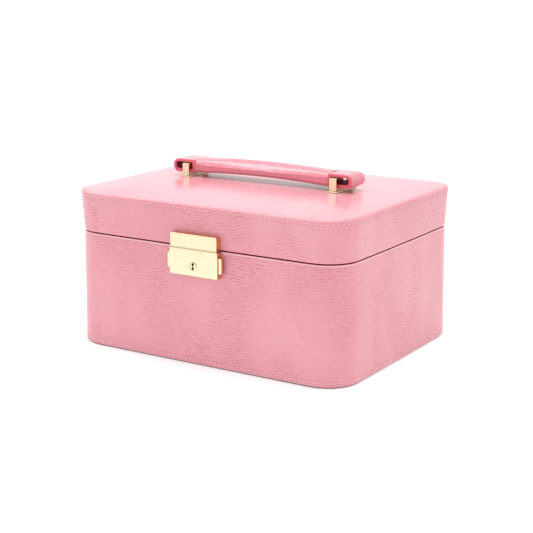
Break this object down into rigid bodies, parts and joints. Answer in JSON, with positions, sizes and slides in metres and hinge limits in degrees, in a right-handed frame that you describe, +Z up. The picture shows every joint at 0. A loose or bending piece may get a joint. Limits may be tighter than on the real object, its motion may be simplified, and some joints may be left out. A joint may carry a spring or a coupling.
{
  "type": "jewellery box",
  "caption": "Leather jewellery box: hinged padded lid with strap handle and mirror, front lock with push buttons and key barrel, lift-out tray with ring rolls over divided compartments.",
  "frame": {"origin": "centre of the underside, on the surface that the box stands on", "axes": "+X along the front to the right, +Y from the lock towards the hinges, +Z up"},
  "size_m": [0.2636, 0.2132, 0.1528],
  "materials": {
    "pink_leather": "lizard-embossed, satin",
    "gold": "polished pale gold plate",
    "board": "raw fibreboard",
    "suede": "soft suede lining",
    "grey_suede": "suede pad",
    "foam": "open-cell foam",
    "steel": "plain",
    "mirror": "silvered glass",
    "velvet": "short velvet pile"
  },
  "bodies": {
    "case": {"bottom_pad": "grey_suede", "base_leather": "pink_leather", "base_carcass": "board", "base_lining": "suede", "base_divider_long": "suede", "base_divider_short": "suede", "tray_ledge_left": "suede", "tray_ledge_right": "suede", "lock_case": "gold", "lock_back_plate": "steel", "lock_spring_left": "steel", "lock_spring_right": "steel", "hinge_base_leaf_left": "gold", "hinge_base_leaf_right": "gold", "hinge_pin_left": "gold", "hinge_pin_right": "gold", "hinge_screw_base_left_outer": "gold", "hinge_screw_base_left_inner": "gold", "hinge_screw_base_right_outer": "gold", "hinge_screw_base_right_inner": "gold"},
    "lid": {"lid_side_leather": "pink_leather", "lid_top_leather": "pink_leather", "lid_pad": "foam", "lid_carcass": "board", "lid_lining": "suede", "mirror_frame": "gold", "mirror": "mirror", "catch_block": "gold", "catch_tongue": "steel", "hinge_lid_leaf_left": "gold", "hinge_lid_leaf_right": "gold", "hinge_screw_lid_left_outer": "gold", "hinge_screw_lid_left_inner": "gold", "hinge_screw_lid_right_outer": "gold", "hinge_screw_lid_right_inner": "gold", "handle_bracket_left": "gold", "handle_bracket_right": "gold", "handle_plate_left": "gold", "handle_plate_right": "gold", "handle_backing_left": "steel", "handle_backing_right": "steel"},
    "handle": {"handle_grip_middle": "pink_leather"},
    "handle_end_left": {"handle_grip_left": "pink_leather", "handle_loop_left": "pink_leather"},
    "handle_end_right": {"handle_grip_right": "pink_leather", "handle_loop_right": "pink_leather"},
    "button_left": {"lock_button_left": "gold"},
    "button_right": {"lock_button_right": "gold"},
    "key": {"key_barrel": "gold"},
    "tray": {"tray_shell": "suede", "tray_divider_long": "suede", "tray_divider_cross": "suede", "ring_roll_1": "velvet", "ring_roll_2": "velvet", "ring_roll_3": "velvet", "ring_roll_4": "velvet", "ring_roll_5": "velvet", "ring_roll_6": "velvet", "tray_tab_left": "pink_leather", "tray_tab_right": "pink_leather"}
  },
  "joints": [
    {"name": "lid_hinge", "type": "hinge", "parent": "case", "child": "lid", "pos_m": [0, 0.1032, 0.097], "axis": [-1, 0, 0], "range_deg": [0, 100]},
    {"name": "tray_lift", "type": "slide", "parent": "case", "child": "tray", "axis": [0, 0, 1], "range_m": [0, 0.014]},
    {"name": "button_left_press", "type": "slide", "parent": "case", "child": "button_left", "axis": [1, 0, 0], "range_m": [0, 0.002], "stiffness_N_per_m": 500, "springref_m": -0.002, "deforming": ["lock_spring_left"]},
    {"name": "button_right_press", "type": "slide", "parent": "case", "child": "button_right", "axis": [-1, 0, 0], "range_m": [0, 0.002], "stiffness_N_per_m": 500, "springref_m": -0.002, "deforming": ["lock_spring_right"]},
    {"name": "key_turn", "type": "hinge", "parent": "case", "child": "key", "pos_m": [0, -0.105, 0.0832], "axis": [0, 1, 0], "range_deg": [0, 90]},
    {"name": "handle_lift", "type": "slide", "parent": "lid", "child": "handle", "axis": [0, 0, 1], "range_m": [0, 0.02]},
    {"name": "handle_end_left_tilt", "type": "hinge", "parent": "handle", "child": "handle_end_left", "pos_m": [-0.03, 0, 0.1402], "axis": [0, -1, 0], "range_deg": [0, 24.2]},
    {"name": "handle_end_right_tilt", "type": "hinge", "parent": "handle", "child": "handle_end_right", "pos_m": [0.03, 0, 0.1402], "axis": [0, 1, 0], "range_deg": [0, 24.2]}
  ],
  "couplings": [
    {"joint": "handle_end_left_tilt", "follows": "handle_lift", "rad_per_m": 20.94},
    {"joint": "handle_end_right_tilt", "follows": "handle_lift", "rad_per_m": 20.94}
  ]
}
